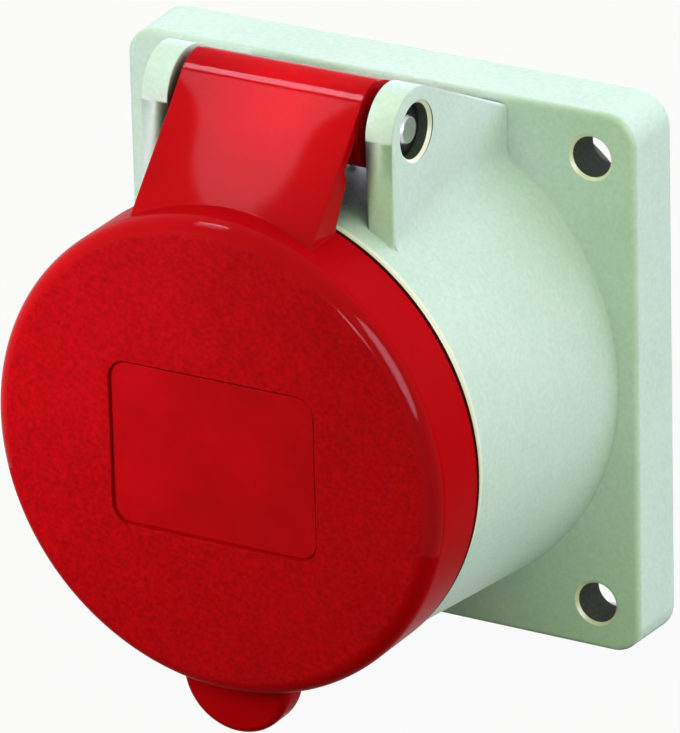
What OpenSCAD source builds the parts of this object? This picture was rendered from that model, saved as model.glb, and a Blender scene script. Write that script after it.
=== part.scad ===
// Flanged pin and sleeve socket outlet, five pole, with a sprung hinged lid.
// +Z is up, the lid faces -Y, and the origin is the centre of the flange's mounting plane.
// Heights along the socket's axis are counted forward from that plane.

/* [Flange] */
// Width and height of the square flange at its mounting plane
flange_w = 85; // [84:0.5:92]
// Thickness of the flange
flange_t = 10; // [9:0.5:13]
// Corner radius of the flange outline
flange_corner_r = 5; // [4:0.5:7]
// Rounding of the flange's front edge
flange_edge_r = 1.6; // [0.8:0.2:2.4]
// Inward lean of each flange side over its thickness
flange_draft = 0.4; // [0.1:0.1:0.8]
// Depth of the gasket recess in the flange's back
recess_depth = 3.5; // [3.3:0.1:4.2]
// Wall left round the gasket recess
recess_wall = 3; // [2.4:0.1:3.6]
// Distance of the fixing holes from the flange's sides
hole_inset = 7.5; // [6.8:0.1:8.4]
// Diameter of the fixing holes
hole_d = 6.2; // [5:0.1:7]

/* [Barrel] */
// How far the flange stands out beyond the barrel
flange_margin = 3.4; // [3:0.1:4.4]
// How much the barrel's radius falls from the flange to the rim
barrel_taper = 3.3; // [2.4:0.1:3.8]
// Height of the rim in front of the mounting plane
barrel_h = 45.5; // [43:0.5:50]
// Rounding of the rim's outer edge
rim_edge_r = 0.6; // [0.3:0.1:0.9]
// Thickness of the barrel's wall at the rim
barrel_wall = 3.2; // [2.9:0.1:3.8]
// Depth of the rear seat for the terminal base
seat_depth = 8; // [7:0.5:9]
// Width of the shroud keyway at the bottom of the bore
keyway_w = 8; // [6:0.5:10]
// Depth of the shroud keyway
keyway_depth = 1.6; // [1:0.1:1.8]

/* [Hinge] */
// Distance of the hinge axis behind the rim
hinge_setback = 10.6; // [10:0.1:12]
// Height of the hinge axis above the rim
hinge_rise = 9.6; // [9.3:0.1:11]
// Clear width between the two ears
ear_gap = 32.4; // [31:0.1:34]
// Thickness of each ear at its front
ear_t = 4.3; // [3.6:0.1:5]
// Extra thickness of each ear at the flange
ear_flare = 1; // [0.4:0.1:1.6]
// Radius of the ear's round top
ear_r = 6.6; // [6:0.1:7]
// How far the ear's sloping top meets the flange below the hinge axis
ear_fall = 4.6; // [4:0.1:5.2]
// Radius of the hollow blend from each ear into the barrel
blend_r = 14; // [10:1:18]
// Length over which that blend grows from the ear's front
blend_run = 20; // [16:1:24]
// Diameter of the hinge pin
pin_d = 4.6; // [4:0.1:5]
// Diameter of the recess round each pin end
pin_recess_d = 8.2; // [7.4:0.1:9]
// Depth of the recess round each pin end
pin_recess_depth = 2; // [1.2:0.1:2.6]
// How far each pin end stands out of its recess floor
pin_stand = 1.1; // [0.4:0.1:1.2]

// Angle at which the lid's knuckle meets the stop rib on the barrel
stop_angle = 120; // [112:1:124]
// Width of the stop rib
stop_w = 10; // [8:0.5:13]
// Thickness of the stop rib
stop_t = 2.4; // [1.8:0.1:3]

/* [Lid] */
// How far the lid stands out beyond the rim
lid_overhang = 0.7; // [0.4:0.1:1.2]
// Depth of the lid from its face to the edge of its skirt
lid_depth = 12.7; // [12:0.1:14]
// Gap between the lid's skirt and the rim
lid_gap = 0.8; // [0.5:0.1:1.2]
// Rounding of the lid's front edge
lid_edge_r = 2.8; // [2:0.1:3.2]
// Rounding of the edge of the lid's skirt
skirt_edge_r = 0.5; // [0.2:0.1:0.6]
// Thickness of the lid's face
lid_face_t = 2.6; // [2.2:0.1:3.2]
// Thickness of the lid's wall
lid_wall = 3.5; // [3.2:0.1:3.8]
// Width of the sunk panel on the lid's face
panel_w = 33.8; // [30:0.2:38]
// Height of the sunk panel
panel_h = 25.5; // [22:0.5:30]
// Corner radius of the sunk panel
panel_corner_r = 3; // [2:0.5:5]
// Depth of the sunk panel
panel_depth = 0.4; // [0.2:0.1:0.8]
// Width of the lid's arm
arm_w = 29.4; // [27:0.1:29.8]
// Thickness of the arm's plate
arm_t = 2; // [1.7:0.1:2.2]
// Outer radius of the arm's knuckle
knuckle_r = 6.9; // [6.7:0.1:7.3]
// Distance of the arm's side walls from the knuckle, along the arm
wall_start = 9.6; // [8.5:0.1:11]
// Depth of the side walls below the arm's outer plane
wall_deep = 3.8; // [3:0.1:4.4]
// Thickness of the knuckle's two eyes and of the arm's side walls
eye_t = 3; // [2.4:0.1:3.6]
// Height of the step where the plate ends on top of the knuckle
lip_step = 0.5; // [0.3:0.1:0.7]
// Radius of the thumb tab
tab_r = 8.8; // [7.5:0.1:10]
// Thickness of the thumb tab
tab_t = 5; // [4:0.1:6]
// Distance of the tab's front behind the lid's face
tab_setback = 4.2; // [3.4:0.1:5]
// Rounding of the thumb tab's front edge
tab_edge_r = 1.2; // [0.6:0.1:1.6]
// Width of the latch nose inside the lid
nose_w = 10; // [8:0.5:14]
// Depth of the latch nose below the lid's inner face
nose_depth = 5; // [4:0.5:6]
// Radial thickness of the latch nose
nose_t = 3; // [2:0.2:4]

/* [Seal and gasket] */
// Thickness of the lid's sealing ring
seal_t = 3; // [2.4:0.1:3.6]
// Wall of the lid outside the sealing ring
seal_rim = 0.9; // [0.7:0.1:1.2]
// Clearance from the sealing ring to the rim
seal_gap = 0.3; // [0.2:0.1:0.4]
// Diameter of the screw holes in the panel gasket
gasket_hole_d = 8; // [7.2:0.1:9]

/* [Lid spring] */
// Wire diameter of the lid's torsion spring
wire_d = 1.2; // [0.9:0.1:1.4]
// Whole turns of the coil
spring_turns = 7; // [5:1:9]
// Length of the coil
coil_len = 16; // [14:0.5:18]
// Length of the leg that presses on the lid's arm
leg_len = 10; // [7:0.5:12]

/* [Insert] */
// Width of the ring gap for the plug's shroud round the carrier
shroud_gap = 5.2; // [4.8:0.1:5.6]
// Distance of the carrier's face behind the rim
carrier_setback = 6.5; // [5:0.5:9]
// Chamfer round the carrier's face
carrier_chamfer = 1; // [0.4:0.1:1.6]
// How much slimmer the terminal block is than the carrier
block_step = 0.4; // [0.2:0.1:1]
// Width of the base's shoulder behind the bore
seat_step = 2.2; // [1.8:0.1:2.6]
// Length of the terminal block behind the mounting plane
block_len = 25; // [24:0.5:30]
// Thickness of the block's back wall
block_wall = 3; // [2:0.2:4]
// Radius of the flutes between the terminals
flute_r = 8; // [6:0.5:9]
// Depth of the flutes between the terminals
flute_depth = 3; // [1.5:0.5:4]
// Distance of the base's fixing screws outside the base
lug_margin = 3.8; // [3.6:0.1:4.2]
// Radius of the base's fixing lugs
lug_r = 3.2; // [2.8:0.1:3.4]
// Thickness of the base's fixing lugs
lug_t = 1.7; // [1.4:0.1:1.8]

/* [Contacts] */
// Distance of the contacts' axes inside the carrier's side
contact_margin = 9.4; // [8.9:0.1:9.9]
// Bore of the phase and neutral sleeves
pole_bore_d = 6.1; // [5.8:0.1:6.4]
// Bore of the earth sleeve
earth_bore_d = 8.1; // [7.8:0.1:8.4]
// Wall of the sleeves
sleeve_wall = 1.6; // [1.4:0.1:1.8]
// Distance of the sleeves' mouths behind the carrier's face
sleeve_setback = 2.5; // [2:0.1:4]
// Depth of the sleeves' bores
sleeve_depth = 21.5; // [18:0.5:24]
// Width of the slots in the sleeves
slot_w = 0.7; // [0.4:0.1:0.8]
// Length of the slots in the sleeves
slot_len = 14; // [10:0.5:16]
// Width of the collar that seats each sleeve
collar_w = 1.4; // [1:0.1:1.8]
// Thickness of the collar
collar_t = 2.5; // [2:0.1:3]
// Radius of the terminal end of each sleeve
terminal_r = 4.75; // [4.5:0.05:5]
// Bore that takes the wire
wire_bore_d = 4.4; // [3.6:0.1:4.6]
// Depth of the wire bore
wire_bore_depth = 14; // [12:0.5:16]
// Distance of each terminal screw from the wire's mouth
clamp_setback = 7; // [5:0.5:8]
// Radial thickness of the ring spring round each sleeve
ring_t = 0.9; // [0.7:0.1:1.1]
// Height of the ring spring
ring_h = 2; // [1.5:0.1:2.5]

/* [Screws] */
// Thread diameter of the terminal screws and of the carrier screw
clamp_d = 4; // [3.5:0.1:4.2]
// Head diameter of the terminal screws
clamp_head_d = 6.2; // [5.6:0.1:6.4]
// Head height of the terminal screws
clamp_head_h = 2.4; // [2:0.1:2.6]
// Head diameter of the carrier screw
carrier_head_d = 7.4; // [6.6:0.1:8]
// Thread diameter of the base's screws
base_screw_d = 2.9; // [2.6:0.1:3.1]
// Head diameter of the base's screws
base_head_d = 5; // [4.6:0.1:5.4]
// Head height of the base's screws
base_head_h = 1.5; // [1.2:0.1:1.6]
// Width of the driver slots
driver_w = 1; // [0.8:0.1:1.2]

/* [Fits] */
// Running clearance of the lid's eyes on the pin
run_gap = 0.05; // [0.03:0.01:0.08]
// Clearance between pieces that only nest
nest_gap = 0.2; // [0.15:0.05:0.3]
// Clearance of threads and pressed pins in their holes
thread_gap = 0.02; // [0.01:0.01:0.04]

/* [Hidden] */
$fn = 96;
poles = ["earth", "l1", "l2", "l3", "neutral"];
earth_angle = -90;
pole_step = 360 / len(poles);
over = 1;
corner_sink = 0.02;

hole_pitch = flange_w - 2 * hole_inset;
barrel_root_r = flange_w / 2 - flange_margin;
barrel_rim_r = barrel_root_r - barrel_taper;
bore_r = barrel_rim_r - barrel_wall;
lid_r = barrel_rim_r + lid_overhang;
carrier_r = bore_r - shroud_gap;
block_r = carrier_r - block_step;
contact_pitch_r = carrier_r - contact_margin;
base_disc_r = bore_r + seat_step;
lug_pitch_r = base_disc_r + lug_margin;

hinge_h = barrel_h - hinge_setback;
hinge_z = barrel_rim_r + hinge_rise;
ear_root_z = hinge_z - ear_fall;
ear_in = ear_gap / 2;
ear_out = ear_in + ear_t;
ear_front_h = hinge_h + ear_r;
ear_base_z = sqrt(pow(barrel_rim_r, 2) - pow(ear_out + ear_flare, 2)) - 2;
pin_r = pin_d / 2;

lid_skirt_h = barrel_h + lid_gap;
lid_face_h = lid_skirt_h + lid_depth;
lid_in_h = lid_face_h - lid_face_t;
lid_in_r = lid_r - lid_wall;
seal_back_h = barrel_h + seal_gap;
seal_front_h = seal_back_h + seal_t;
seal_out_r = lid_r - seal_rim;

// The arm's outer plane touches the knuckle and runs to the lid's front edge.
foot_h = lid_face_h - lid_edge_r - 0.5;
foot_z = sqrt(pow(lid_r, 2) - pow(arm_w / 2, 2));
foot_run = norm([foot_h - hinge_h, foot_z - hinge_z]);
arm_slope = asin(knuckle_r / foot_run) - atan2(foot_z - hinge_z, foot_h - hinge_h);
arm_len = sqrt(pow(foot_run, 2) - pow(knuckle_r, 2));
hollow_r = knuckle_r - arm_t;
foot_bury = 2;
lip_angle = 88;
shell_end_angle = 150;
stop_gap = 0.3;

coil_r = hollow_r - wire_d / 2 - 0.3;
coil_start = 90 - arm_slope;
coil_end = 180 + 360 * spring_turns;
leg_end_h = hinge_h - coil_r;

base_back_h = recess_depth - lug_t;
seat_r = base_disc_r + nest_gap;
carrier_h = barrel_h - carrier_setback;
sleeve_h = carrier_h - sleeve_setback;
terminal_h = -block_len + block_wall;
clamp_h = terminal_h + clamp_setback;
clamp_tip = wire_bore_d / 2 + 0.2;
clamp_seat = block_r - contact_pitch_r - clamp_head_h - 0.2;
ring_gap_h = sleeve_h - 5;
ring_in = 0.4;

function pole_angle(i) = earth_angle + i * pole_step;
function sleeve_bore(i) = i == 0 ? earth_bore_d : pole_bore_d;
function sleeve_r(i) = sleeve_bore(i) / 2 + sleeve_wall;
function barrel_r_at(h) =
    barrel_root_r + (barrel_rim_r - barrel_root_r) * (h - flange_t) / (barrel_h - flange_t);

// Turns a shape that is drawn with its axis up so that the axis points forward.
module front() {
    rotate([90, 0, 0]) children();
}

// Moves a shape that is drawn on its own axis to one pole of the insert.
module at_pole(i) {
    front() rotate([0, 0, pole_angle(i)]) translate([contact_pitch_r, 0, 0]) children();
}

// Extrudes an outline of (height, z) points across the socket, from x = from to x = to.
module across(from, to) {
    translate([to, 0, 0]) rotate([90, 0, -90]) linear_extrude(to - from) children();
}

module both_sides() {
    children();
    mirror([1, 0, 0]) children();
}

module rounded_rect(w, h, r) {
    square([w, h - 2 * r], center = true);
    square([w - 2 * r, h], center = true);
    for (x = [-1, 1], y = [-1, 1])
        translate([x * (w / 2 - r), y * (h / 2 - r)]) circle(r);
}

// Section of a plate that is half wide from its middle to its side, with a leaning side.
module plate_section(half, top) {
    lean = atan(flange_draft / flange_t);
    arc_z = top - flange_edge_r;
    arc_x = half - arc_z * tan(lean) - flange_edge_r / cos(lean);
    side = [arc_x + flange_edge_r * cos(lean), arc_z + flange_edge_r * sin(lean)];
    polygon([[0, 0], [half, 0], side, [arc_x, arc_z], [arc_x, top], [0, top]]);
    translate([arc_x, arc_z]) intersection() {
        circle(flange_edge_r);
        square(2 * flange_edge_r);
    }
}

// The round corners lie a hair below the straight sides, so that no two surfaces only touch.
module flange_blank() {
    half = flange_w / 2;
    corner = half - flange_corner_r;
    for (turn = [0 : 90 : 270])
        rotate([0, 0, turn]) {
            rotate([90, 0, 0]) linear_extrude(2 * corner, center = true) plate_section(half, flange_t);
            translate([corner, corner, 0]) rotate_extrude()
                plate_section(flange_corner_r - corner_sink, flange_t - corner_sink);
        }
}

module barrel_blank() {
    rotate_extrude() {
        polygon([
            [0, flange_t / 2], [barrel_root_r, flange_t / 2], [barrel_root_r, flange_t],
            [barrel_rim_r, barrel_h - rim_edge_r], [barrel_rim_r - rim_edge_r, barrel_h - rim_edge_r],
            [barrel_rim_r - rim_edge_r, barrel_h], [0, barrel_h]
        ]);
        translate([barrel_rim_r - rim_edge_r, barrel_h - rim_edge_r]) circle(rim_edge_r);
    }
}

// Side outline of an ear: a round top and a straight edge that falls to the flange.
module ear_outline() {
    reach = [hinge_h - flange_t, hinge_z - ear_root_z];
    rise = atan2(reach[1], reach[0]) + asin(ear_r / norm(reach));
    run = sqrt(pow(norm(reach), 2) - pow(ear_r, 2));
    root = flange_t - over;
    polygon([
        [root, ear_base_z], [ear_front_h, ear_base_z], [ear_front_h, hinge_z], [hinge_h, hinge_z],
        [flange_t + run * cos(rise), ear_root_z + run * sin(rise)],
        [root, ear_root_z - over * tan(rise)]
    ]);
    translate([hinge_h, hinge_z]) circle(ear_r);
}

module ear() {
    intersection() {
        across(ear_in, ear_out + ear_flare) ear_outline();
        translate([0, 0, ear_base_z]) linear_extrude(hinge_z + 2 * ear_r - ear_base_z)
            polygon([
                [ear_in, over - flange_t], [ear_out + ear_flare, over - flange_t],
                [ear_out + ear_flare, -flange_t], [ear_out, -ear_front_h], [ear_in, -ear_front_h]
            ]);
    }
}

// Hollow round that leads each ear's flank into the barrel, fading out towards the front.
module ear_blend() {
    sink = 0.5;
    barrel_r = barrel_r_at(ear_front_h) - sink;
    inside_x = ear_out - sink;
    centre_x = inside_x + blend_r;
    centre_z = sqrt(pow(barrel_r + blend_r, 2) - pow(centre_x, 2));
    touch = barrel_r * [centre_x, centre_z] / (barrel_r + blend_r);
    intersection() {
        front() translate([0, 0, flange_t - over])
            linear_extrude(ear_front_h - flange_t) difference() {
                polygon([
                    [inside_x - over, centre_z], [centre_x, centre_z], touch,
                    [inside_x - over, touch[1] - over]
                ]);
                translate([centre_x, centre_z]) circle(blend_r);
            }
        linear_extrude(hinge_z) polygon([
            [inside_x - 2 * over, 0], [centre_x, 0], [centre_x, blend_run - ear_front_h],
            [touch[0] + over, blend_run - ear_front_h], [inside_x, over - ear_front_h],
            [inside_x - 2 * over, over - ear_front_h]
        ]);
    }
}

// Rib on top of the barrel that the back edge of the lid's knuckle meets when the lid is open.
module stop_rib() {
    foot = hinge_z - barrel_r_at(hinge_h) + over;
    across(-stop_w / 2, stop_w / 2) translate([hinge_h, hinge_z])
        rotate(shell_end_angle + stop_angle - 270) translate([stop_gap, -foot])
            square([stop_t, foot - hollow_r - stop_gap]);
}

module lug_outline(grow) {
    for (turn = [45 : 90 : 315])
        rotate(turn) {
            translate([lug_pitch_r, 0]) circle(lug_r + grow);
            translate([0, -lug_r - grow]) square([lug_pitch_r, 2 * (lug_r + grow)]);
        }
}

module housing() {
    color([0.80, 0.88, 0.83]) difference() {
        union() {
            front() flange_blank();
            front() barrel_blank();
            both_sides() ear();
            both_sides() ear_blend();
            stop_rib();
        }
        front() {
            translate([0, 0, -over]) linear_extrude(recess_depth + over) rounded_rect(
                flange_w - 2 * recess_wall, flange_w - 2 * recess_wall, flange_corner_r - 1);
            translate([0, 0, -over]) cylinder(r = seat_r, h = seat_depth + over);
            cylinder(r = bore_r, h = barrel_h + over);
            translate([-keyway_w / 2, -bore_r - keyway_depth, seat_depth])
                cube([keyway_w, bore_r, barrel_h]);
            for (x = [-1, 1], y = [-1, 1])
                translate([x, y, 0] * hole_pitch / 2) cylinder(d = hole_d, h = flange_t + over);
            for (turn = [45 : 90 : 315])
                rotate([0, 0, turn]) translate([lug_pitch_r, 0, 0])
                    cylinder(r = base_screw_d / 2 + thread_gap, h = seat_depth);
        }
        translate([0, -hinge_h, hinge_z]) rotate([0, 90, 0]) {
            cylinder(r = pin_r + thread_gap, h = 2 * ear_out, center = true);
            for (end = [0, 180])
                rotate([end, 0, 0]) translate([0, 0, ear_out - pin_recess_depth])
                    cylinder(d = pin_recess_d, h = pin_recess_depth + ear_flare + over);
        }
    }
}

module lid_cap() {
    front() rotate_extrude() {
        polygon([
            [0, lid_skirt_h], [lid_r - skirt_edge_r, lid_skirt_h],
            [lid_r - skirt_edge_r, lid_skirt_h + skirt_edge_r], [lid_r, lid_skirt_h + skirt_edge_r],
            [lid_r, lid_face_h - lid_edge_r], [lid_r - lid_edge_r, lid_face_h - lid_edge_r],
            [lid_r - lid_edge_r, lid_face_h], [0, lid_face_h]
        ]);
        translate([lid_r - lid_edge_r, lid_face_h - lid_edge_r]) circle(lid_edge_r);
        translate([lid_r - skirt_edge_r, lid_skirt_h + skirt_edge_r]) circle(skirt_edge_r);
    }
}

// Point on the arm, so far along its slope from the knuckle and so deep below its outer plane.
function arm_point(along, deep) = [
    hinge_h + (knuckle_r - deep) * sin(arm_slope) + along * cos(arm_slope),
    hinge_z + (knuckle_r - deep) * cos(arm_slope) - along * sin(arm_slope)
];

// Sector of the knuckle between two angles, seen from the side.
module knuckle_sector(r, from, to) {
    far = 3 * knuckle_r;
    translate([hinge_h, hinge_z]) intersection() {
        circle(r);
        polygon([
            [0, 0], far * [cos(from), sin(from)], far * [cos((from + to) / 2), sin((from + to) / 2)],
            far * [cos(to), sin(to)]
        ]);
    }
}

// Side outline of the arm: eye, stepped shell, plate and the wall that stands on the skirt.
module arm_outline() {
    translate([hinge_h, hinge_z]) circle(knuckle_r - lip_step);
    knuckle_sector(knuckle_r, coil_start, lip_angle);
    polygon([
        arm_point(0, 0), arm_point(arm_len + foot_bury, 0), arm_point(arm_len + foot_bury, arm_t),
        arm_point(0, arm_t)
    ]);
    polygon([
        arm_point(wall_start, arm_t / 2), arm_point(arm_len, arm_t / 2), [foot_h, foot_z - over],
        [lid_skirt_h + skirt_edge_r + over, foot_z - over], [lid_skirt_h + skirt_edge_r + over, foot_z + over],
        arm_point(wall_start + 0.8, wall_deep), arm_point(wall_start, arm_t)
    ]);
}

// Space under the arm for the spring, open at the back and below.
module arm_hollow() {
    far = 3 * knuckle_r;
    translate([hinge_h, hinge_z]) circle(hollow_r);
    polygon([
        [hinge_h, hinge_z], arm_point(0, arm_t), arm_point(arm_len + foot_bury + over, arm_t),
        [hinge_h + far, hinge_z - far], [hinge_h - far, hinge_z - far],
        [hinge_h, hinge_z] + far * [cos(shell_end_angle), sin(shell_end_angle)]
    ]);
}

module arm() {
    half = arm_w / 2;
    difference() {
        across(-half, half) arm_outline();
        across(eye_t - half, half - eye_t) arm_hollow();
    }
}

module latch_nose() {
    front() translate([-nose_w / 2, -lid_in_r - 0.5, lid_in_h - nose_depth])
        cube([nose_w, nose_t + 0.5, nose_depth + 0.5]);
}

module thumb_tab() {
    front() translate([0, 0.8 - lid_r, lid_face_h - tab_setback - tab_t]) rotate_extrude() {
        square([tab_r - tab_edge_r, tab_t]);
        square([tab_r, tab_t - tab_edge_r]);
        translate([tab_r - tab_edge_r, tab_t - tab_edge_r]) circle(tab_edge_r);
    }
}

module lid() {
    color([0.76, 0.03, 0.07]) {
        difference() {
            union() {
                lid_cap();
                thumb_tab();
                arm();
            }
            front() {
                translate([0, 0, lid_skirt_h - over])
                    cylinder(r = lid_in_r, h = lid_depth - lid_face_t + over);
                translate([0, 0, lid_skirt_h - over])
                    cylinder(r = seal_out_r, h = seal_front_h - lid_skirt_h + over);
                translate([0, 0, lid_face_h - panel_depth]) linear_extrude(panel_depth + over)
                    rounded_rect(panel_w, panel_h, panel_corner_r);
            }
            translate([0, -hinge_h, hinge_z]) rotate([0, 90, 0])
                cylinder(r = pin_r + run_gap, h = arm_w + over, center = true);
        }
        intersection() {
            latch_nose();
            front() cylinder(r = lid_in_r + 0.5, h = lid_face_h);
        }
    }
}

module lid_seal() {
    color([0.10, 0.10, 0.10]) front() translate([0, 0, seal_back_h]) rotate_extrude()
        translate([lid_in_r, 0]) square([seal_out_r - lid_in_r - nest_gap / 2, seal_t]);
}

module hinge_pin() {
    color([0.75, 0.76, 0.78]) translate([0, -hinge_h, hinge_z]) rotate([0, 90, 0])
        cylinder(r = pin_r, h = 2 * (ear_out - pin_recess_depth + pin_stand), center = true);
}

// Tube swept along the spring's wire: one leg under the arm, the coil, one leg on the barrel.
module lid_spring() {
    sides = 8;
    per_turn = 20;
    steps = ceil((coil_end - coil_start) / 360 * per_turn);
    leg_x = coil_len / 2;
    leg_end_z = sqrt(pow(barrel_r_at(leg_end_h), 2) - pow(leg_x, 2)) + 0.3;
    angles = [for (i = [0 : steps]) coil_start + (coil_end - coil_start) * i / steps];
    coil = [for (i = [0 : steps]) [
        coil_len * i / steps - leg_x, -coil_r * cos(angles[i]), coil_r * sin(angles[i])
    ]];
    leg_start = coil[0] - leg_len * [0, cos(arm_slope), sin(arm_slope)];
    leg_end = [leg_x, coil_r, leg_end_z - hinge_z];
    path = concat([leg_start], coil, [leg_end]);
    turn = concat([coil_start], angles, [coil_end]);
    rings = len(path);
    points = [for (i = [0 : rings - 1], k = [0 : sides - 1])
        path[i] + wire_d / 2 * (cos(360 * k / sides) * [0, -cos(turn[i]), sin(turn[i])]
            + sin(360 * k / sides) * [1, 0, 0])
    ];
    walls = [for (i = [0 : rings - 2], k = [0 : sides - 1])
        let (a = i * sides + k, b = i * sides + (k + 1) % sides)
        each [[a, b, b + sides], [a, b + sides, a + sides]]
    ];
    first = [for (k = [0 : sides - 1]) sides - 1 - k];
    last = [for (k = [0 : sides - 1]) (rings - 1) * sides + k];
    color([0.70, 0.71, 0.73]) translate([0, -hinge_h, hinge_z])
        polyhedron(points, concat([first], walls, [last]));
}

module panel_gasket() {
    side = flange_w - 2 * recess_wall - 2 * nest_gap;
    color([0.16, 0.16, 0.16]) front() linear_extrude(recess_depth) difference() {
        rounded_rect(side, side, flange_corner_r - 1);
        circle(seat_r + 1.2);
        lug_outline(2 * nest_gap);
        for (x = [-1, 1], y = [-1, 1])
            translate([x, y] * hole_pitch / 2) circle(d = gasket_hole_d);
    }
}

module contact_carrier() {
    front_wall = carrier_h - sleeve_h;
    color([0.33, 0.35, 0.36]) difference() {
        front() {
            translate([0, 0, seat_depth])
                cylinder(r = carrier_r, h = carrier_h - carrier_chamfer - seat_depth);
            translate([0, 0, carrier_h - carrier_chamfer])
                cylinder(r1 = carrier_r, r2 = carrier_r - carrier_chamfer, h = carrier_chamfer);
        }
        for (i = [0 : len(poles) - 1])
            at_pole(i) {
                translate([0, 0, seat_depth - over])
                    cylinder(r = sleeve_r(i) + collar_w + nest_gap, h = collar_t + nest_gap + over);
                cylinder(r = sleeve_r(i) - ring_in + ring_t + nest_gap, h = sleeve_h + nest_gap);
                translate([0, 0, sleeve_h + nest_gap - 0.01]) cylinder(
                    d1 = sleeve_bore(i) + 2 * nest_gap, d2 = sleeve_bore(i) + front_wall,
                    h = front_wall - nest_gap + 0.02);
            }
        front() {
            cylinder(d = clamp_d + 2 * nest_gap, h = carrier_h);
            translate([0, 0, carrier_h - clamp_head_h - 1])
                cylinder(d = carrier_head_d + 2 * nest_gap, h = clamp_head_h + 1 + over);
        }
    }
}

module terminal_base() {
    funnel_r = wire_bore_d / 2 + 0.8;
    color([0.24, 0.25, 0.26]) difference() {
        front() {
            translate([0, 0, base_back_h]) cylinder(r = base_disc_r, h = seat_depth - base_back_h);
            translate([0, 0, base_back_h]) linear_extrude(lug_t) lug_outline(0);
            translate([0, 0, -block_len]) cylinder(r = block_r, h = block_len + base_back_h + over);
        }
        for (i = [0 : len(poles) - 1]) {
            at_pole(i) {
                translate([0, 0, terminal_h])
                    cylinder(r = terminal_r + nest_gap, h = seat_depth - terminal_h + over);
                translate([0, 0, -block_len - over]) cylinder(r = funnel_r, h = block_len);
                translate([0, 0, -block_len - 0.01])
                    cylinder(r1 = funnel_r + block_wall / 2, r2 = funnel_r, h = block_wall / 2);
                translate([0, 0, clamp_h]) rotate([0, 90, 0]) {
                    cylinder(r = clamp_d / 2 + nest_gap, h = block_r);
                    translate([0, 0, clamp_seat])
                        cylinder(r = clamp_head_d / 2 + nest_gap, h = block_r);
                }
            }
            front() rotate([0, 0, pole_angle(i) + pole_step / 2])
                translate([block_r + flute_r - flute_depth, 0, -block_len - over])
                    cylinder(r = flute_r, h = block_len + over);
        }
        front() {
            translate([0, 0, -seat_depth])
                cylinder(r = clamp_d / 2 + thread_gap, h = 2 * seat_depth + over);
            for (turn = [45 : 90 : 315])
                rotate([0, 0, turn]) translate([lug_pitch_r, 0, 0])
                    cylinder(r = base_screw_d / 2 + nest_gap, h = recess_depth + over);
        }
    }
}

module sleeve(i) {
    outer = sleeve_r(i);
    color([0.80, 0.72, 0.50]) at_pole(i) difference() {
        union() {
            translate([0, 0, terminal_h]) cylinder(r = terminal_r, h = seat_depth - terminal_h);
            translate([0, 0, seat_depth]) cylinder(r = outer + collar_w, h = collar_t);
            translate([0, 0, seat_depth]) cylinder(r = outer, h = sleeve_h - seat_depth);
        }
        translate([0, 0, sleeve_h - sleeve_depth]) cylinder(d = sleeve_bore(i), h = sleeve_depth + over);
        translate([0, 0, terminal_h - over]) cylinder(d = wire_bore_d, h = wire_bore_depth + over);
        translate([0, 0, clamp_h]) rotate([0, 90, 0]) cylinder(r = clamp_d / 2 + thread_gap, h = terminal_r + over);
        for (turn = [45, 135])
            rotate([0, 0, turn]) translate([-outer - over, -slot_w / 2, sleeve_h - slot_len])
                cube([2 * (outer + over), slot_w, slot_len + over]);
        translate([0, 0, ring_gap_h]) difference() {
            cylinder(r = outer + over, h = ring_h);
            translate([0, 0, -over]) cylinder(r = outer - ring_in, h = ring_h + 2 * over);
        }
    }
}

// Split ring that squeezes the sleeve's slotted mouth.
module ring_spring(i) {
    inner = sleeve_r(i) - ring_in + thread_gap;
    color([0.66, 0.67, 0.69]) at_pole(i) translate([0, 0, ring_gap_h + thread_gap]) difference() {
        cylinder(r = inner - thread_gap + ring_t, h = ring_h - 2 * thread_gap);
        translate([0, 0, -over]) cylinder(r = inner, h = ring_h + 2 * over);
        translate([0, -slot_w, -over]) cube([inner + ring_t + over, 2 * slot_w, ring_h + 2 * over]);
    }
}

// A screw that stands on its tip at z = 0, with a slotted head.
module slotted_screw(thread_d, thread_len, head_d, head_h) {
    difference() {
        union() {
            cylinder(d = thread_d, h = thread_len + over);
            translate([0, 0, thread_len]) cylinder(d = head_d, h = head_h);
        }
        translate([-head_d, -driver_w / 2, thread_len + head_h / 2]) cube([2 * head_d, driver_w, head_h]);
    }
}

module terminal_screws() {
    color([0.72, 0.73, 0.74]) for (i = [0 : len(poles) - 1])
        at_pole(i) translate([clamp_tip, 0, clamp_h]) rotate([0, 90, 0])
            slotted_screw(clamp_d, clamp_seat - clamp_tip, clamp_head_d, clamp_head_h);
}

module carrier_screw() {
    tip = -seat_depth + 1;
    color([0.72, 0.73, 0.74]) front() translate([0, 0, tip])
        slotted_screw(clamp_d, carrier_h - clamp_head_h - 1 - tip, carrier_head_d, clamp_head_h);
}

module base_screws() {
    color([0.72, 0.73, 0.74]) front() for (turn = [45 : 90 : 315])
        rotate([0, 0, turn]) translate([lug_pitch_r, 0, seat_depth - 0.5]) mirror([0, 0, 1])
            slotted_screw(base_screw_d, seat_depth - 0.5 - base_back_h, base_head_d, base_head_h);
}

housing();
lid();
lid_seal();
hinge_pin();
lid_spring();
panel_gasket();
contact_carrier();
terminal_base();
sleeve(0);  // earth_sleeve
sleeve(1);  // l1_sleeve
sleeve(2);  // l2_sleeve
sleeve(3);  // l3_sleeve
sleeve(4);  // neutral_sleeve
ring_spring(0);  // earth_ring_spring
ring_spring(1);  // l1_ring_spring
ring_spring(2);  // l2_ring_spring
ring_spring(3);  // l3_ring_spring
ring_spring(4);  // neutral_ring_spring
terminal_screws();
carrier_screw();
base_screws();
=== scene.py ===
"""Dresses a flanged pin and sleeve socket outlet: housing, sprung lid, hinge and contact insert."""

import logging
import math
from collections.abc import Callable, Iterable, Sequence
from dataclasses import dataclass
from enum import Enum

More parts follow.
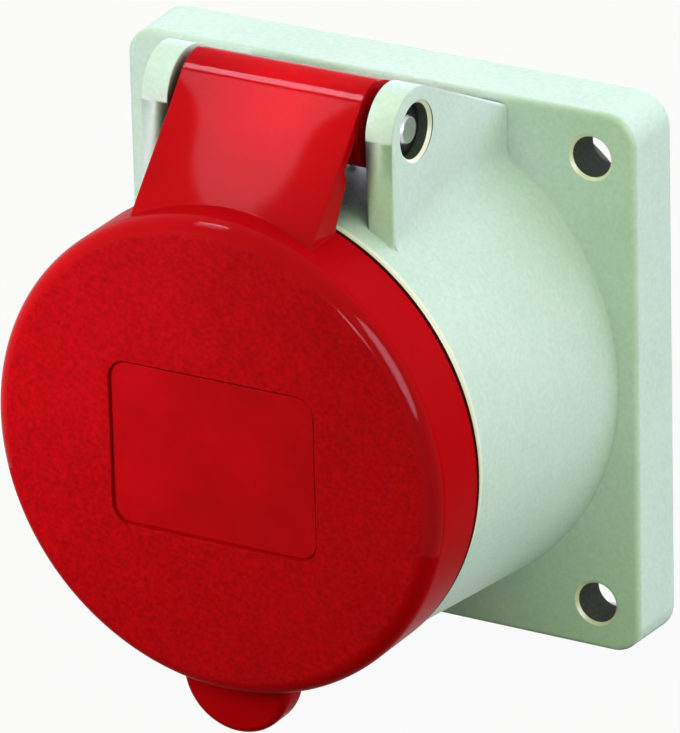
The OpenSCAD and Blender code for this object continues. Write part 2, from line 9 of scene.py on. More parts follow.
import bmesh
import bpy
from mathutils import Matrix, Vector


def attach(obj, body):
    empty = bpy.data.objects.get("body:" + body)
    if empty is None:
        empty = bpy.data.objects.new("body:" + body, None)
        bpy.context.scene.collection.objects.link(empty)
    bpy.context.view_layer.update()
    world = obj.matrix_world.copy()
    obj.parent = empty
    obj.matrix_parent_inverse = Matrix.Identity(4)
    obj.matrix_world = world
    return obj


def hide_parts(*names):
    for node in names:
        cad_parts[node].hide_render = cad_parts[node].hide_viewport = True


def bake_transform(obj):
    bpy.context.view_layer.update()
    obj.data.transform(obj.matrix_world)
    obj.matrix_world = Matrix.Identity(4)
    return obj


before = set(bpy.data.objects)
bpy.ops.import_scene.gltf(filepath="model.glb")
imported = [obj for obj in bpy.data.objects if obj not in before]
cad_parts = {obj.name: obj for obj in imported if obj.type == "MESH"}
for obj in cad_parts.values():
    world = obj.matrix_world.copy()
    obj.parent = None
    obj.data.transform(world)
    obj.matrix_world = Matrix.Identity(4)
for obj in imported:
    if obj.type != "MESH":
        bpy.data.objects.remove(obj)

LOG = logging.getLogger("socket_outlet")
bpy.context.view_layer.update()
MM = 0.001
# Faces round a turned form.
ROUND = 192
# Distance in metres within which corners are one corner.
WELD = 2e-6
# Angles in degrees: faces this near to one plane are joined, and edges sharper than the others stay creases.
FLAT = 0.3
CREASE = 33.0
CARRIED_CREASE = 22.0
# A face with less of its normal than this along an axis runs along that axis.
ALONG = 0.1
# Radius of the cut-outs in the gasket's corners, in millimetres.
GASKET_HOLE_R = 6.3
Outline = list[tuple[float, float]]
Place = Callable[[float, float, float], Vector]


class Body(Enum):
    """The rigid bodies that pieces ride on."""

    SOCKET = "socket"
    LID = "lid"


class Join(Enum):
    """How one closed mesh is combined with another."""

    ADD = "UNION"
    CUT = "DIFFERENCE"


class Lit(Enum):
    """Whether a lamp lights the forms and whether it shows in the gloss."""

    FORMS = (True, False)
    GLOSS = (False, True)


# Shared helpers


def srgb(code: str) -> tuple[float, float, float, float]:
    """Turns an sRGB hex value into a linear colour.

    Args:
        code: The colour as "#rrggbb".

    Returns:
        Linear red, green, blue and an alpha of one.
    """
    parts = [int(code[i : i + 2], 16) / 255 for i in (1, 3, 5)]
    r, g, b = (c / 12.92 if c <= 0.04045 else ((c + 0.055) / 1.055) ** 2.4 for c in parts)
    return r, g, b, 1.0


def add_node(
    tree: bpy.types.NodeTree, kind: str, settings: dict | None = None, links: dict | None = None
) -> bpy.types.Node:
    """Adds a node with its settings and links.

    Args:
        tree: The node tree to add to.
        kind: The node's Blender type.
        settings: Properties by name, or input values by socket name or number.
        links: Output sockets by the input's name or number.

    Returns:
        The new node.
    """
    node = tree.nodes.new(kind)
    for key, value in (settings or {}).items():
        if isinstance(key, str) and hasattr(node, key):
            setattr(node, key, value)
        else:
            node.inputs[key].default_value = value
    for key, source in (links or {}).items():
        tree.links.new(source, node.inputs[key])
    return node


def axial(r: float, h: float, turn: float) -> Vector:
    """Point on a circle round the socket's axis.

    Args:
        r: Distance from the axis in millimetres.
        h: Height in front of the mounting plane in millimetres.
        turn: Angle from +X towards +Z in degrees.

    Returns:
        The point in metres.
    """
    a = math.radians(turn)
    return Vector((r * math.cos(a), -h, r * math.sin(a))) * MM


def arc(centre: tuple[float, float], r: float, start: float, end: float, steps: int) -> Outline:
    """Points along an arc.

    Args:
        centre: The arc's centre.
        r: Its radius.
        start: Its first angle in degrees.
        end: Its last angle in degrees.
        steps: The number of chords.

    Returns:
        The points, both ends included.
    """
    turns = [math.radians(start + (end - start) * i / steps) for i in range(steps + 1)]
    return [(centre[0] + r * math.cos(t), centre[1] + r * math.sin(t)) for t in turns]


def new_piece(name: str, mesh: bmesh.types.BMesh) -> bpy.types.Object:
    """Makes an object of a mesh, with its normals turned outwards.

    Args:
        name: The object's name.
        mesh: The mesh, which is freed.

    Returns:
        The object, linked to the scene.
    """
    bmesh.ops.remove_doubles(mesh, verts=mesh.verts, dist=1e-7)
    bmesh.ops.recalc_face_normals(mesh, faces=mesh.faces)
    data = bpy.data.meshes.new(name)
    mesh.to_mesh(data)
    mesh.free()
    piece = bpy.data.objects.new(name, data)
    bpy.context.collection.objects.link(piece)
    return piece


def revolved(profile: Outline, place: Place = axial) -> bmesh.types.BMesh:
    """Turns a closed outline of (radius, height) points once round an axis.

    Args:
        profile: The outline; points at radius zero become poles.
        place: Gives the point for a radius, a height and an angle in degrees.

    Returns:
        The closed mesh.
    """
    mesh = bmesh.new()
    rings = []
    for r, h in profile:
        count = 1 if r < 1e-9 else ROUND
        rings.append([mesh.verts.new(place(r, h, 360 * i / ROUND)) for i in range(count)])
    for a, b in zip(rings, rings[1:] + rings[:1]):
        for i in range(ROUND):
            j = (i + 1) % ROUND
            corners = [a[i % len(a)], a[j % len(a)], b[j % len(b)], b[i % len(b)]]
            corners = list(dict.fromkeys(corners))
            if len(corners) > 2:
                mesh.faces.new(corners)
    return mesh


def loft(rings: Sequence[Sequence[Vector]], endless: bool = False) -> bmesh.types.BMesh:
    """Joins closed rings of equally many points into one closed form.

    Args:
        rings: The rings in order, in metres.
        endless: Whether the last ring joins the first, in place of a face at each end.

    Returns:
        The closed mesh; faces 0 and 1 are its two ends, where it has them.
    """
    mesh = bmesh.new()
    rows = [[mesh.verts.new(point) for point in ring] for ring in rings]
    if endless:
        rows.append(rows[0])
    else:
        mesh.faces.new(rows[0][::-1])
        mesh.faces.new(rows[-1])
    for a, b in zip(rows, rows[1:]):
        for i in range(len(a)):
            j = (i + 1) % len(a)
            mesh.faces.new((a[i], a[j], b[j], b[i]))
    return mesh


def end_edges(mesh: bmesh.types.BMesh) -> set[bmesh.types.BMEdge]:
    """Edges round the two ends of a loft or a prism."""
    mesh.faces.ensure_lookup_table()
    return {edge for face in (mesh.faces[0], mesh.faces[1]) for edge in face.edges}


def prism(outline: Outline, lift: Callable[[float, float, int], Vector]) -> bmesh.types.BMesh:
    """Joins an outline to its copy on the far side.

    Args:
        outline: The closed outline.
        lift: Gives the point for an outline point and a side, 0 or 1.

    Returns:
        The closed mesh; faces 0 and 1 are its two sides.
    """
    return loft([[lift(u, v, side) for u, v in outline] for side in (0, 1)])


def across(outline: Outline, low: float, high: float) -> bmesh.types.BMesh:
    """Prism of a (height, z) outline from x = low to x = high, in millimetres."""
    return prism(outline, lambda h, z, side: Vector(((low, high)[side], -h, z)) * MM)


def forward(outline: Outline, back: float, front: float) -> bmesh.types.BMesh:
    """Prism of an (x, z) outline from one height to another, in millimetres."""
    return prism(outline, lambda x, z, side: Vector((x, -(back, front)[side], z)) * MM)


def rectangle(left: float, right: float, low: float, top: float) -> Outline:
    """Closed rectangle as an outline."""
    return [(left, low), (right, low), (right, top), (left, top)]


def circle(centre: tuple[float, float], r: float) -> Outline:
    """Closed circle as an outline."""
    return arc(centre, r, 0, 360, 64)[:-1]


def rounded_rectangle(w: float, h: float, r: float, steps: int = 10) -> Outline:
    """Closed rectangle with round corners, centred on the axis."""
    x, y = w / 2 - r, h / 2 - r
    points: Outline = []
    for centre, start in (((x, y), 0), ((-x, y), 90), ((-x, -y), 180), ((x, -y), 270)):
        points += arc(centre, r, start, start + 90, steps)
    return points


def soften(mesh: bmesh.types.BMesh, edges: Iterable[bmesh.types.BMEdge], width: float) -> None:
    """Rounds edges of a mesh by a width in millimetres, with three faces across the round."""
    bmesh.ops.bevel(
        mesh, geom=list(edges), offset=width * MM, offset_type="OFFSET", segments=3, profile=0.5,
        affect="EDGES", clamp_overlap=True,
    )


def combine(piece: bpy.types.Object, tool: bmesh.types.BMesh, how: Join) -> None:
    """Adds a closed mesh to a piece, or cuts it away.

    Args:
        piece: The piece to change.
        tool: The closed mesh, which is used up.
        how: Whether to add or cut.
    """
    helper = new_piece("tool", tool)
    step = piece.modifiers.new("step", "BOOLEAN")
    step.operation = how.value
    step.solver = "EXACT"
    step.object = helper
    replace_mesh(piece)
    bpy.data.objects.remove(helper)


def replace_mesh(piece: bpy.types.Object) -> None:
    """Turns a piece's modifiers into plain mesh."""
    graph = bpy.context.evaluated_depsgraph_get()
    data = bpy.data.meshes.new_from_object(piece.evaluated_get(graph))
    old = piece.data
    piece.modifiers.clear()
    piece.data = data
    bpy.data.meshes.remove(old)


def merge(piece: bpy.types.Object, flat: bool = False) -> None:
    """Merges a piece's doubled corners and drops its empty faces.

    Args:
        piece: The piece to clean.
        flat: Whether to join neighbouring faces that lie in one plane.
    """
    mesh = bmesh.new()
    mesh.from_mesh(piece.data)
    bmesh.ops.remove_doubles(mesh, verts=mesh.verts, dist=WELD)
    bmesh.ops.dissolve_degenerate(mesh, edges=mesh.edges, dist=WELD / 2)
    if flat:
        bmesh.ops.dissolve_limit(
            mesh, angle_limit=math.radians(FLAT), use_dissolve_boundaries=False,
            verts=mesh.verts, edges=mesh.edges,
        )
    mesh.to_mesh(piece.data)
    mesh.free()


def settle(piece: bpy.types.Object, angle: float = CREASE) -> bpy.types.Object:
    """Cleans a piece's mesh and gives it smooth normals with creases.

    Args:
        piece: The piece.
        angle: Edges sharper than this stay creases, in degrees.

    Returns:
        The same piece.
    """
    merge(piece)
    piece.data.shade_smooth()
    piece.data.set_sharp_from_angle(angle=math.radians(angle))
    normals = piece.modifiers.new("normals", "WEIGHTED_NORMAL")
    normals.keep_sharp = True
    return piece


def carried_over(name: str, node: str, cuts: Iterable[bmesh.types.BMesh] = ()) -> bpy.types.Object:
    """Copies a CAD node with its corners merged and its round faces smooth.

    Args:
        name: The new piece's name.
        node: The CAD node.
        cuts: Closed meshes to cut away, which are used up.

    Returns:
        The copy, which stands for the node.
    """
    piece = bpy.data.objects.new(name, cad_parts[node].data.copy())
    piece.data.materials.clear()
    bpy.context.collection.objects.link(piece)
    merge(piece, flat=True)
    for tool in cuts:
        combine(piece, tool, Join.CUT)
    settle(piece, CARRIED_CREASE)
    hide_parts(node)
    return piece


def paint(piece: bpy.types.Object, coats: Sequence["Finish"], coat: Callable[..., "Finish"]) -> None:
    """Gives each face of a piece one of several finishes.

    Args:
        piece: The piece.
        coats: Its finishes.
        coat: Gives the finish for a face's x, height and z in millimetres and its normal.
    """
    piece.data.materials.clear()
    for finish in coats:
        piece.data.materials.append(finish.material())
    for face in piece.data.polygons:
        x, h, z = face.center.x / MM, -face.center.y / MM, face.center.z / MM
        face.material_index = coats.index(coat(x, h, z, face.normal))


def dress(piece: bpy.types.Object, finish: "Finish", body: Body) -> None:
    """Gives a piece its material, where it has none, and its body, and logs it."""
    if not piece.data.materials:
        piece.data.materials.append(finish.material())
    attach(piece, body.value)
    LOG.info("%s rides on %s, %d faces", piece.name, body.value, len(piece.data.polygons))


# Finishes

# A moulding's colour drifts slowly over this width, as the melt flowed.
DRIFT_MM = 12.0
# Painted shade lies where walls within this reach leave less than the first share open, and fully at the
# second.
SHADE_REACH_MM = 14.0
SHADE_STARTS, SHADE_FULL = 0.42, 0.15


@dataclass(frozen=True)
class Finish:
    """A surface finish with a name, a colour and a gloss.

    Attributes:
        name: The material's name.
        colour: Its main colour.
        shade: The colour that it drifts to.
        roughness: Its roughness.
        ior: Its index of refraction.
        grain_mm: Width of its surface grain.
        relief_mm: Height of that grain.
        edge_mm: Rounding that its edges show.
        shine: Its specular level, half being that of its index alone.
        speckle: Share of the fine grain in its colour.
        recess_shade: Colour painted as shade into its enclosed places, where it has any.
    """

    name: str
    colour: str
    shade: str
    roughness: float
    ior: float
    grain_mm: float
    relief_mm: float
    edge_mm: float
    shine: float = 0.5
    speckle: float = 0.3
    recess_shade: str = ""

    def material(self) -> bpy.types.Material:
        """Finds or makes the finish's material."""
        found = bpy.data.materials.get(self.name)
        if found:
            return found
        material = bpy.data.materials.new(self.name)
        material.use_nodes = True
        tree = material.node_tree
        tree.nodes.clear()
        shader = add_node(
            tree, "ShaderNodeBsdfPrincipled", {"IOR": self.ior, "Specular IOR Level": self.shine}
        )
        out = add_node(tree, "ShaderNodeOutputMaterial", None, {"Surface": shader.outputs["BSDF"]})
        out.is_active_output = True
        self.wire(tree, shader)
        return material

    def wire(self, tree: bpy.types.NodeTree, shader: bpy.types.Node) -> None:
        """Adds colour drift, gloss drift and grain to the shader.

        Args:
            tree: The material's tree.
            shader: Its shader node.
        """
        place = add_node(tree, "ShaderNodeTexCoord").outputs["Object"]
        drift = add_node(
            tree, "ShaderNodeTexNoise", {"Scale": 1 / (DRIFT_MM * MM), "Detail": 2.0}, {"Vector": place}
        )
        grain = add_node(
            tree, "ShaderNodeTexNoise", {"Scale": 1 / (self.grain_mm * MM), "Detail": 3.0}, {"Vector": place}
        )
        fine = add_node(
            tree, "ShaderNodeMix", {"data_type": "FLOAT", "Factor": self.speckle},
            {2: drift.outputs["Fac"], 3: grain.outputs["Fac"]},
        )
        tint = self.tint(tree, fine.outputs["Result"])
        # Painted shade: the colour darkens where walls nearby shut a place in.
        if self.recess_shade:
            tint = self.paint_recess_shade(tree, tint)
        tree.links.new(tint, shader.inputs["Base Color"])
        gloss = add_node(
            tree, "ShaderNodeMapRange",
            {"To Min": self.roughness * 0.9, "To Max": self.roughness * 1.1}, {"Value": grain.outputs["Fac"]},
        )
        tree.links.new(gloss.outputs["Result"], shader.inputs["Roughness"])
        edge = add_node(tree, "ShaderNodeBevel", {"samples": 6, "Radius": self.edge_mm * MM})
        bump = add_node(
            tree, "ShaderNodeBump", {"Strength": 1.0, "Distance": self.relief_mm * MM},
            {"Height": grain.outputs["Fac"], "Normal": edge.outputs["Normal"]},
        )
        tree.links.new(bump.outputs["Normal"], shader.inputs["Normal"])

    def paint_recess_shade(self, tree: bpy.types.NodeTree, tint: bpy.types.NodeSocket) -> bpy.types.NodeSocket:
        """Paints shade into places that are shut in by walls nearby, as a darker colour.

        Args:
            tree: The material's tree.
            tint: The clean colour.

        Returns:
            The colour with painted shade.
        """
        nearby = add_node(
            tree, "ShaderNodeAmbientOcclusion", {"samples": 8, "Distance": SHADE_REACH_MM * MM}
        )
        amount = add_node(
            tree, "ShaderNodeMapRange", {"From Min": SHADE_STARTS, "From Max": SHADE_FULL},
            {"Value": nearby.outputs["AO"]},
        )
        mix = add_node(
            tree, "ShaderNodeMix", {"data_type": "RGBA", 7: srgb(self.recess_shade)},
            {"Factor": amount.outputs["Result"], 6: tint},
        )
        return mix.outputs[2]

    def tint(self, tree: bpy.types.NodeTree, factor: bpy.types.NodeSocket) -> bpy.types.NodeSocket:
        """Colour ramp between the finish's two colours.

        Args:
            tree: The material's tree.
            factor: What drives the ramp.

        Returns:
            The ramp's colour.
        """
        ramp = add_node(tree, "ShaderNodeValToRGB", None, {"Fac": factor})
        ramp.color_ramp.elements[0].position = 0.35
        ramp.color_ramp.elements[0].color = srgb(self.colour)
        ramp.color_ramp.elements[1].position = 0.7
        ramp.color_ramp.elements[1].color = srgb(self.shade)
        return ramp.outputs["Color"]


@dataclass(frozen=True)
class Metal(Finish):
    """A metal, which has no index of refraction of its own to set."""

    def material(self) -> bpy.types.Material:
        """Finds or makes the metal's material."""
        material = super().material()
        shader = next(n for n in material.node_tree.nodes if n.type == "BSDF_PRINCIPLED")
        shader.inputs["Metallic"].default_value = 1.0
        return material


# Glass-filled polyamide, moulded against a spark-eroded tool: satin, with faint flow tint. Its colours are
# chosen for the studio's tinted light, in which it looks grey-green.
# Its dark olive colour below is painted as shade into places shut in by walls nearby.
HOUSING = Finish(
    "polyamide_grey_green", "#D6DCEA", "#C7D1DC", 0.5, 1.53, 0.7, 0.012, 0.35,
    shine=0.25, speckle=0.7, recess_shade="#22281C",
)
# The same moulding inside its holes and the pin's recesses, painted dark and dull as shade.
BORE_SHADE = Finish("polyamide_painted_shade", "#3C4434", "#2F3629", 0.7, 1.53, 0.7, 0.02, 0.2, shine=0.2, speckle=0.7)
# The same moulding on the lips of its holes and the barrel's rim, painted pale as highlight.
LIP_HIGHLIGHT = Finish("polyamide_painted_highlight", "#FFF0F4", "#F8E8EC", 0.4, 1.53, 0.7, 0.01, 0.2, shine=0.3, speckle=0.5)
# Self-coloured polyamide from a polished tool, as on the lid's arm: deep red with sharp, faint reflections.
LID_GLOSS = Finish("polyamide_red_polished", "#B8040F", "#B0030D", 0.07, 1.53, 0.9, 0.001, 0.3, shine=0.04)
# The same polyamide from an eroded tool: the lid's face is finely grained and matt.
LID_GRAIN = Finish(
    "polyamide_red_grained", "#BE0411", "#98030C", 0.5, 1.53, 0.7, 0.12, 0.3, shine=0.02, speckle=0.8
)
# The sunk panel comes from a stoned, plain part of the tool: smooth and a little blotchy.
LID_PANEL = Finish("polyamide_red_smooth", "#BA0411", "#A6030D", 0.32, 1.53, 2.5, 0.004, 0.3, shine=0.03)
# The rim, side and tab of the lid, where hands have worn the polish off.
LID_RIM = Finish("polyamide_red_handled", "#B8040F", "#B0030D", 0.3, 1.53, 0.9, 0.002, 0.3, shine=0.005)
# The back edge of the lid's skirt, painted dark as shade against the barrel.
LID_EDGE_SHADE = Finish("polyamide_red_painted_shade", "#3A0306", "#2C0204", 0.5, 1.53, 0.9, 0.004, 0.1, shine=0.005)
# Dark moulding of the insert, plain matt.
INSERT = Finish("polyamide_dark_grey", "#3A3E40", "#34383A", 0.5, 1.53, 0.5, 0.008, 0.25)
# Moulded rubber of seal and gasket, dull black.
RUBBER = Finish("nitrile_rubber_black", "#171717", "#1C1C1B", 0.72, 1.52, 0.6, 0.015, 0.2)
# Zinc-plated steel of pin, spring and screws.
STEEL = Metal("zinc_plated_steel", "#C9CBCD", "#BFC2C5", 0.26, 1.5, 0.4, 0.002, 0.15)
# Hardened spring steel of the push-on rings, phosphated: nearly black and dull, its black also standing in
# for the shade deep in the ears' recesses.
RING_STEEL_SHADE = Metal("phosphated_steel_painted_shade", "#232426", "#1B1C1E", 0.5, 1.5, 0.3, 0.004, 0.1)
# Turned brass of the contacts, bright.
BRASS = Metal("turned_brass", "#D8B673", "#CFAA64", 0.24, 1.5, 0.3, 0.002, 0.12)


# Sub-assemblies


@dataclass
class Hinge:
    """Place and sizes of the lid's hinge, in millimetres."""

    h: float = 34.9
    z: float = 45.4
    pin_r: float = 2.3
    pin_half: float = 19.6
    pin_chamfer: float = 0.4
    clip_r: float = 3.9
    clip_crown_r: float = 3.1
    clip_edge: float = 0.35
    clip_t: float = 0.75
    clip_in: float = 1.1
    coil_r: float = 4.0
    coil_half: float = 8.0
    wire_r: float = 0.6
    turns: int = 7
    turn_steps: int = 28
    leg: float = 10.0
    leg_shares: tuple[float, ...] = (1.0, 0.6, 0.25)
    rest_leg: tuple[float, ...] = (2.5, 5.5, 8.8)
    slope: float = 46.7

    def about(self, r: float, h: float, turn: float) -> Vector:
        """Point round the hinge's axis, h along +X, in metres."""
        a = math.radians(turn)
        return Vector((h, -self.h - r * math.cos(a), self.z + r * math.sin(a))) * MM

    def rod(self, r: float, low: float, high: float) -> bmesh.types.BMesh:
        """Closed cylinder along the hinge's axis."""
        return revolved([(0, low), (r, low), (r, high), (0, high)], self.about)

    def build_pin(self) -> bpy.types.Object:
        """Makes the pin, its ends turned to a small chamfer."""
        r, half, cut = self.pin_r, self.pin_half, self.pin_chamfer
        ends = [(0, -half), (r - cut, -half), (r, cut - half), (r, half - cut), (r - cut, half), (0, half)]
        piece = settle(new_piece("pin_of_the_hinge", revolved(ends, self.about)))
        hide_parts("hinge_pin")
        return piece

    def build_clips(self) -> bpy.types.Object:
        """Makes the push-on rings that hold the pin, one in each ear's recess."""
        mesh = bmesh.new()
        for side in (-1, 1):
            deep = side * (self.pin_half - self.clip_in)
            edge, top = deep + side * self.clip_edge, deep + side * self.clip_t
            ring = [(self.pin_r, deep), (self.clip_r, deep), (self.clip_r, edge), (self.clip_crown_r, top),
                    (self.pin_r, top)]
            part = bpy.data.meshes.new("clip")
            turned = revolved(ring, self.about)
            turned.to_mesh(part)
            turned.free()
            mesh.from_mesh(part)
            bpy.data.meshes.remove(part)
        return settle(new_piece("push_on_rings", mesh))

    def spring_path(self) -> list[Vector]:
        """Middle line of the spring's wire, from the lid's leg to the barrel's."""
        first, last = 90 - self.slope, 180 + 360 * self.turns
        steps = self.turns * self.turn_steps
        coil = []
        for i in range(steps + 1):
            share = i / steps
            x = self.coil_half * (2 * share - 1)
            coil.append(self.about(self.coil_r, x, first + (last - first) * share))
        a = math.radians(self.slope)
        down = Vector((0, -math.cos(a), -math.sin(a))) * MM
        lid_leg = [coil[0] + down * self.leg * share for share in self.leg_shares]
        rest_leg = [coil[-1] + Vector((0, 0, -drop)) * MM for drop in self.rest_leg]
        return lid_leg + coil + rest_leg

    def build_spring(self, finish: Finish) -> bpy.types.Object:
        """Sweeps the spring's wire along its path with geometry nodes.

        Args:
            finish: The wire's finish.

        Returns:
            The spring as a plain mesh.
        """
        path = bmesh.new()
        points = [path.verts.new(p) for p in self.spring_path()]
        for a, b in zip(points, points[1:]):
            path.edges.new((a, b))
        data = bpy.data.meshes.new("spring_path")
        path.to_mesh(data)
        path.free()
        piece = bpy.data.objects.new("torsion_spring", data)
        bpy.context.collection.objects.link(piece)
        values = {"Wire Radius": self.wire_r * MM, "Sides": 14, "Material": finish.material()}
        run_tree(piece, wire_tree(), values)
        piece.data.shade_smooth()
        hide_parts("lid_spring")
        return piece


def wire_tree() -> bpy.types.NodeTree:
    """Geometry nodes that sweep a round wire along a chain of edges."""
    tree = new_tree("wire_along_path", {"Wire Radius": "NodeSocketFloat", "Sides": "NodeSocketInt"})
    given = tree.nodes["given"].outputs
    path = add_node(tree, "GeometryNodeMeshToCurve", None, {"Mesh": given["Geometry"]})
    profile = add_node(
        tree, "GeometryNodeCurvePrimitiveCircle", None,
        {"Resolution": given["Sides"], "Radius": given["Wire Radius"]},
    )
    tube = add_node(
        tree, "GeometryNodeCurveToMesh", {"Fill Caps": True},
        {"Curve": path.outputs["Curve"], "Profile Curve": profile.outputs["Curve"]},
    )
    end_tree(tree, tube.outputs["Mesh"])
    return tree


def ring_tree() -> bpy.types.NodeTree:
    """Geometry nodes that repeat a piece round the socket's axis."""
    tree = new_tree("copies_round_axis", {"Count": "NodeSocketInt", "Step": "NodeSocketFloat"})
    given = tree.nodes["given"].outputs
    points = add_node(tree, "GeometryNodePoints", None, {"Count": given["Count"]})
    index = add_node(tree, "GeometryNodeInputIndex")
    turn = add_node(
        tree, "ShaderNodeMath", {"operation": "MULTIPLY"}, {0: index.outputs["Index"], 1: given["Step"]}
    )
    about = add_node(tree, "ShaderNodeCombineXYZ", None, {"Y": turn.outputs["Value"]})
    copies = add_node(
        tree, "GeometryNodeInstanceOnPoints", None,
        {"Points": points.outputs[0], "Instance": given["Geometry"], "Rotation": about.outputs["Vector"]},
    )
    end_tree(tree, copies.outputs["Instances"])
    return tree


def new_tree(name: str, sizes: dict[str, str]) -> bpy.types.NodeTree:
    """Starts a geometry node tree with a mesh, sizes and a material as inputs.

    Args:
        name: The tree's name.
        sizes: Socket types by input name.

    Returns:
        The tree, with its input and output nodes named given and result.
    """
    tree = bpy.data.node_groups.new(name, "GeometryNodeTree")
    tree.interface.new_socket("Geometry", in_out="INPUT", socket_type="NodeSocketGeometry")
    for label, kind in {**sizes, "Material": "NodeSocketMaterial"}.items():
        tree.interface.new_socket(label, in_out="INPUT", socket_type=kind)
    tree.interface.new_socket("Geometry", in_out="OUTPUT", socket_type="NodeSocketGeometry")
    add_node(tree, "NodeGroupInput", {"name": "given"})
    add_node(tree, "NodeGroupOutput", {"name": "result"})
    return tree


def end_tree(tree: bpy.types.NodeTree, shape: bpy.types.NodeSocket) -> None:
    """Ends a tree in real meshes with the given material."""
    real = add_node(tree, "GeometryNodeRealizeInstances", None, {"Geometry": shape})
    coated = add_node(
        tree, "GeometryNodeSetMaterial", None,
        {"Geometry": real.outputs["Geometry"], "Material": tree.nodes["given"].outputs["Material"]},
    )
    tree.links.new(coated.outputs["Geometry"], tree.nodes["result"].inputs["Geometry"])


def run_tree(piece: bpy.types.Object, tree: bpy.types.NodeTree, values: dict[str, object]) -> None:
    """Runs a geometry node tree on a piece and keeps the plain mesh.

    Args:
        piece: The piece that holds the tree's input mesh.
        tree: The tree.
        values: Input values by name.
    """
    step = piece.modifiers.new("nodes", "NODES")
    step.node_group = tree
    for item in tree.interface.items_tree:
        if item.in_out == "INPUT" and item.name in values:
            step[item.identifier] = values[item.name]
    piece.update_tag()
    replace_mesh(piece)


@dataclass
class Housing:
    """The moulding of flange, barrel and hinge ears, in millimetres."""

    hinge: Hinge
    flange: float = 85.0
    thick: float = 10.0
    corner: float = 5.0
    edge: float = 0.9
    edge_out: float = 0.06
    draft: float = 0.4
    recess: float = 3.5
    recess_wall: float = 3.0
    pitch: float = 70.0
    hole_r: float = 3.1
    root_r: float = 39.1
    rim_r: float = 35.8
    rim_h: float = 45.5
    rim_edge: float = 1.0
    bore_r: float = 32.6
    seat_r: float = 35.0
    seat_h: float = 8.0
    ear_in: float = 16.2
    ear_out: float = 20.5
    ear_flare: float = 1.0
    ear_r: float = 6.6
    ear_edge: float = 0.5
    ear_root_z: float = 40.8
    ear_shown_z: float = 30.0
    blend_r: float = 9.0
    blend_short: float = 0.3
    blend_sunk: float = 0.02
    blend_inside: float = 1.5
    sink_r: float = 4.1
    sink_deep: float = 2.0
    rib_half: float = 5.0
    rib_low: float = 35.8
    rib_top: float = 40.2
    rib_gap: float = 0.3
    rib_t: float = 2.4
    key_half: float = 4.0
    key_top: float = -30.0
    key_low: float = -34.2
    pin_gap: float = 0.02
    lip: float = 0.45
    root: float = 1.0
    sunk: float = 2.0
    past: float = 1.5

    def barrel_at(self, h: float) -> float:
        """Outer radius of the barrel at a height."""
        share = (h - self.thick) / (self.rim_h - self.rim_edge - self.thick)
        return self.root_r + (self.rim_r - self.root_r) * share

    def flank_at(self, h: float) -> float:
        """Distance of the ears' flanks from the middle at a height."""
        front = self.hinge.h + self.ear_r
        return self.ear_out + self.ear_flare * (front - h) / (front - self.thick)

    def flange_mesh(self) -> bmesh.types.BMesh:
        """Square plate with round corners, leaning sides and a round front edge."""
        lean = self.draft / self.thick
        levels = [(0.0, 0.0), (lean * (self.thick - self.edge), self.thick - self.edge)]
        steps = 8
        for t in range(1, steps + 1):
            a = math.radians(90 * t / steps)
            levels.append((self.draft + self.edge * (1 - math.cos(a)) - self.edge_out * math.cos(a),
                           self.thick - self.edge * (1 - math.sin(a))))
        rings = []
        for inset, h in levels:
            side = self.flange - 2 * inset
            points = rounded_rectangle(side, side, self.corner - inset, 14)
            rings.append([Vector((x, -h, z)) * MM for x, z in points])
        return loft(rings)

    def barrel_mesh(self) -> bmesh.types.BMesh:
        """Tapered barrel, still solid, with a round rim."""
        rim = arc((self.rim_r - self.rim_edge, self.rim_h - self.rim_edge), self.rim_edge, 0, 90, 5)
        foot = self.thick / 2
        return revolved([(0, foot), (self.root_r, foot), (self.root_r, self.thick), *rim, (0, self.rim_h)])

    def ear_outline(self) -> Outline:
        """Side view of an ear: round top, straight back edge down to the flange."""
        reach = (self.hinge.h - self.thick, self.hinge.z - self.ear_root_z)
        far = math.hypot(*reach)
        rise = math.degrees(math.atan2(reach[1], reach[0]) + math.asin(self.ear_r / far))
        top = arc((self.hinge.h, self.hinge.z), self.ear_r, 0, 90 + rise, 40)
        back = self.thick - self.root
        low = math.sqrt(self.rim_r**2 - (self.ear_out + self.ear_flare) ** 2) - self.sunk
        drop = self.root * math.tan(math.radians(rise))
        return [(back, low), (self.hinge.h + self.ear_r, low), *top, (back, self.ear_root_z - drop)]

    def ear_mesh(self, side: int) -> bmesh.types.BMesh:
        """One ear, its flank leaning out towards the flange, its long edges rounded.

        Args:
            side: 1 for the right ear, -1 for the left.

        Returns:
            The closed mesh.
        """
        front = self.hinge.h + self.ear_r

        def lift(h: float, z: float, flank: int) -> Vector:
            return Vector((side * (self.flank_at(h) if flank else self.ear_in), -h, z)) * MM

        mesh = prism(self.ear_outline(), lift)
        shown = [edge for edge in end_edges(mesh) if all(v.co.z > self.ear_shown_z * MM for v in edge.verts)
                 or all(abs(v.co.y + front * MM) < WELD / 2 for v in edge.verts)]
        soften(mesh, shown, self.ear_edge)
        return mesh

    def blend_mesh(self, side: int) -> bmesh.types.BMesh:
        """Hollow round between an ear's flank and the barrel, tight at both of its ends.

        Args:
            side: 1 for the right ear, -1 for the left.

        Returns:
            The closed mesh.
        """
        front, back, steps = self.hinge.h + self.ear_r, self.thick - self.root, 28
        rings = []
        for i in range(steps + 1):
            share = i / steps
            h = back + (front - self.blend_short - back) * share
            r = self.blend_r * (0.2 + 0.8 * math.sin(math.pi * share))
            flank = self.flank_at(h) - self.blend_sunk
            barrel = self.barrel_at(h) - self.blend_sunk
            cx = flank + r
            cz = math.sqrt((barrel + r) ** 2 - cx**2)
            touch = 360 + math.degrees(math.atan2(-cz, -cx))
            hollow = arc((cx, cz), r, 180, touch, 16)
